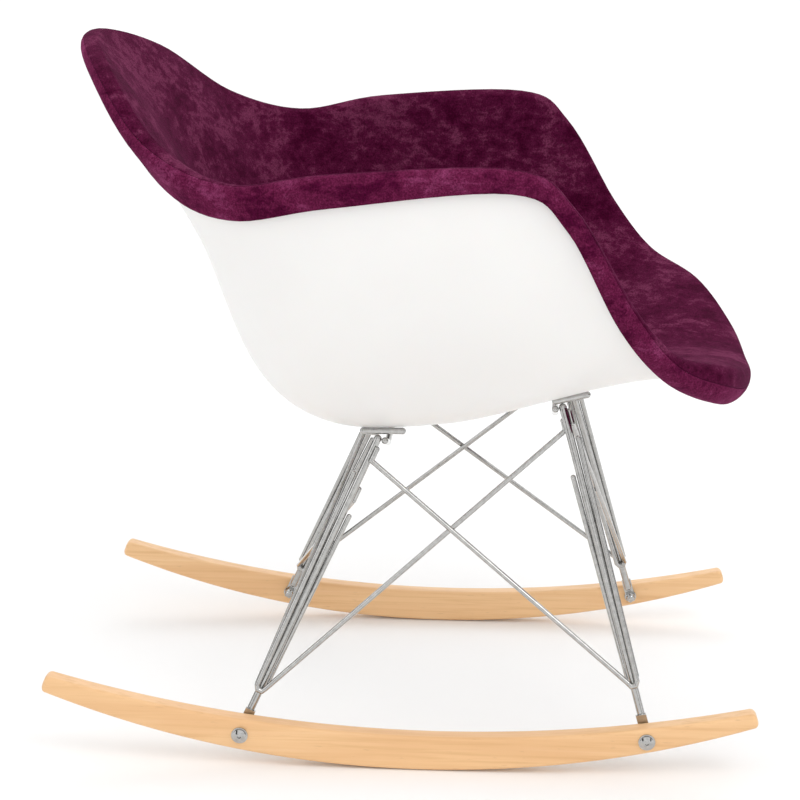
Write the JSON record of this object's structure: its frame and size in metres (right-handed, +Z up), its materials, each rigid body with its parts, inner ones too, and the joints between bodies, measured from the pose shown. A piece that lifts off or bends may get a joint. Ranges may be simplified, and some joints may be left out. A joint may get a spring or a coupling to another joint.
{
  "type": "rocking chair",
  "caption": "Moulded bucket armchair with a plum crushed-velvet padded inside and edge band, on a chromed wire base with curved beech rocker runners.",
  "frame": {"origin": "floor level under the centre of the chair's outline, midway between the runners and midway between their tips", "axes": "+Z up, the chair faces -Y, +X is the sitter's left"},
  "size_m": [0.622, 0.69, 0.6853],
  "materials": {
    "shell_plastic": "satin moulded",
    "velvet": "crushed velvet",
    "velvet_border": "velvet, sewn edge band",
    "foam": "upholstery foam",
    "chrome_steel": "polished",
    "beech": "clear lacquered",
    "pad_rubber": "matt"
  },
  "bodies": {
    "root": {"seat_shell": "shell_plastic", "seat_foam": "foam", "velvet_cover": "velvet", "edge_border": "velvet_border", "tee_nuts": "chrome_steel", "mount_pads": "pad_rubber", "mount_tabs": "chrome_steel", "mount_washers": "chrome_steel", "mount_screws": "chrome_steel", "top_rod_front_right": "chrome_steel", "top_rod_front_left": "chrome_steel", "top_rod_rear_right": "chrome_steel", "top_rod_rear_left": "chrome_steel", "front_cross_bar": "chrome_steel", "rear_cross_bar": "chrome_steel", "leg_front_right": "chrome_steel", "leg_front_left": "chrome_steel", "leg_rear_right": "chrome_steel", "leg_rear_left": "chrome_steel", "side_brace_right_front": "chrome_steel", "side_brace_right_rear": "chrome_steel", "side_brace_left_front": "chrome_steel", "side_brace_left_rear": "chrome_steel", "front_brace_right": "chrome_steel", "front_brace_left": "chrome_steel", "rear_brace_right": "chrome_steel", "rear_brace_left": "chrome_steel", "runner_right": "beech", "runner_left": "beech", "runner_bolts": "chrome_steel", "runner_washers": "chrome_steel", "cap_nuts": "chrome_steel"}
  },
  "joints": []
}
